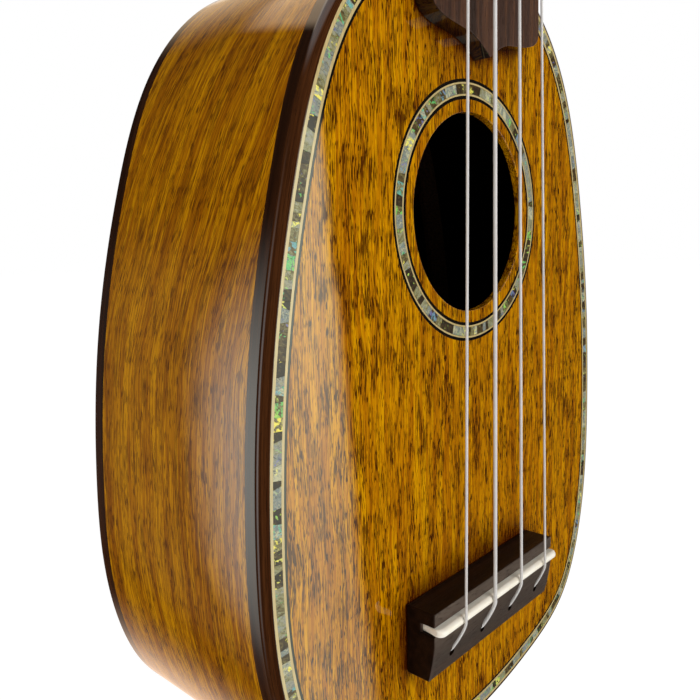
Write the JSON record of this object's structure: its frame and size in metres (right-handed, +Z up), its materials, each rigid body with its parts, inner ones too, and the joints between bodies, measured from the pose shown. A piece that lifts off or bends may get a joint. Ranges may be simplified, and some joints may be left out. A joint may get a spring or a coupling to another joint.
{
  "type": "pineapple ukulele",
  "caption": "Small plucked string instrument with an egg-shaped hollow wooden body, round soundhole, fretted neck, glued bridge and geared tuners.",
  "frame": {"origin": "centre line of the instrument, at the nut's speaking edge and level with the soundboard's face", "axes": "+Z up along the strings to the headstock, -Y out of the soundboard towards the player, +X to the treble side"},
  "size_m": [0.1492, 0.0788, 0.4838],
  "materials": {
    "koa": "gloss lacquer",
    "rosewood": "satin",
    "mahogany": "gloss lacquer",
    "spruce": "bare",
    "abalone": "polished shell",
    "cream": "gloss",
    "black": "gloss",
    "bone": "polished bone",
    "nylon": "clear nylon",
    "pearl": "pearl",
    "nickel": "nickel plate"
  },
  "bodies": {
    "instrument": {"side_bass": "koa", "side_treble": "koa", "lining_front_bass": "spruce", "lining_front_treble": "spruce", "lining_back_bass": "spruce", "lining_back_treble": "spruce", "tail_block": "mahogany", "binding_front": "rosewood", "binding_back": "rosewood", "purfling_cream": "cream", "purfling_abalone": "abalone", "purfling_lines": "black", "soundboard": "koa", "rosette_inner_lines": "black", "rosette_abalone": "abalone", "rosette_outer_lines": "black", "back_plate": "koa", "brace_upper": "spruce", "brace_lower": "spruce", "back_brace_upper": "spruce", "back_brace_lower": "spruce", "bridge_plate": "rosewood", "bridge": "rosewood", "saddle": "bone", "neck": "mahogany", "headstock_face": "rosewood", "nut": "bone", "fretboard": "rosewood", "fret_01": "nickel", "fret_02": "nickel", "fret_03": "nickel", "fret_04": "nickel", "fret_05": "nickel", "fret_06": "nickel", "fret_07": "nickel", "fret_08": "nickel", "fret_09": "nickel", "fret_10": "nickel", "fret_11": "nickel", "fret_12": "nickel", "tuner_1_plate": "nickel", "tuner_2_plate": "nickel", "tuner_3_plate": "nickel", "tuner_4_plate": "nickel", "string_g": "nylon", "string_c": "nylon", "string_e": "nylon", "string_a": "nylon"},
    "key_1": {"tuner_1_worm": "nickel", "tuner_1_button": "pearl"},
    "key_2": {"tuner_2_worm": "nickel", "tuner_2_button": "pearl"},
    "key_3": {"tuner_3_worm": "nickel", "tuner_3_button": "pearl"},
    "key_4": {"tuner_4_worm": "nickel", "tuner_4_button": "pearl"},
    "post_1": {"tuner_1_post": "nickel"},
    "post_2": {"tuner_2_post": "nickel"},
    "post_3": {"tuner_3_post": "nickel"},
    "post_4": {"tuner_4_post": "nickel"}
  },
  "joints": [
    {"name": "key_1_turn", "type": "hinge", "parent": "instrument", "child": "key_1", "pos_m": [-0.0175, 0.02138, 0.02844], "axis": [-1, 0, 0], "continuous": true},
    {"name": "key_2_turn", "type": "hinge", "parent": "instrument", "child": "key_2", "pos_m": [-0.019, 0.02798, 0.06587], "axis": [-1, 0, 0], "continuous": true},
    {"name": "key_3_turn", "type": "hinge", "parent": "instrument", "child": "key_3", "pos_m": [0.019, 0.02798, 0.06587], "axis": [1, 0, 0], "continuous": true},
    {"name": "key_4_turn", "type": "hinge", "parent": "instrument", "child": "key_4", "pos_m": [0.0175, 0.02138, 0.02844], "axis": [1, 0, 0], "continuous": true},
    {"name": "post_1_turn", "type": "hinge", "parent": "instrument", "child": "post_1", "pos_m": [-0.0175, 0.01843, 0.03536], "axis": [0, 0.9848, -0.1736], "continuous": true},
    {"name": "post_2_turn", "type": "hinge", "parent": "instrument", "child": "post_2", "pos_m": [-0.019, 0.02503, 0.07278], "axis": [0, 0.9848, -0.1736], "continuous": true},
    {"name": "post_3_turn", "type": "hinge", "parent": "instrument", "child": "post_3", "pos_m": [0.019, 0.02503, 0.07278], "axis": [0, 0.9848, -0.1736], "continuous": true},
    {"name": "post_4_turn", "type": "hinge", "parent": "instrument", "child": "post_4", "pos_m": [0.0175, 0.01843, 0.03536], "axis": [0, 0.9848, -0.1736], "continuous": true}
  ],
  "couplings": [
    {"joint": "post_1_turn", "follows": "key_1_turn", "ratio": -0.071429},
    {"joint": "post_2_turn", "follows": "key_2_turn", "ratio": -0.071429},
    {"joint": "post_3_turn", "follows": "key_3_turn", "ratio": -0.071429},
    {"joint": "post_4_turn", "follows": "key_4_turn", "ratio": -0.071429}
  ]
}
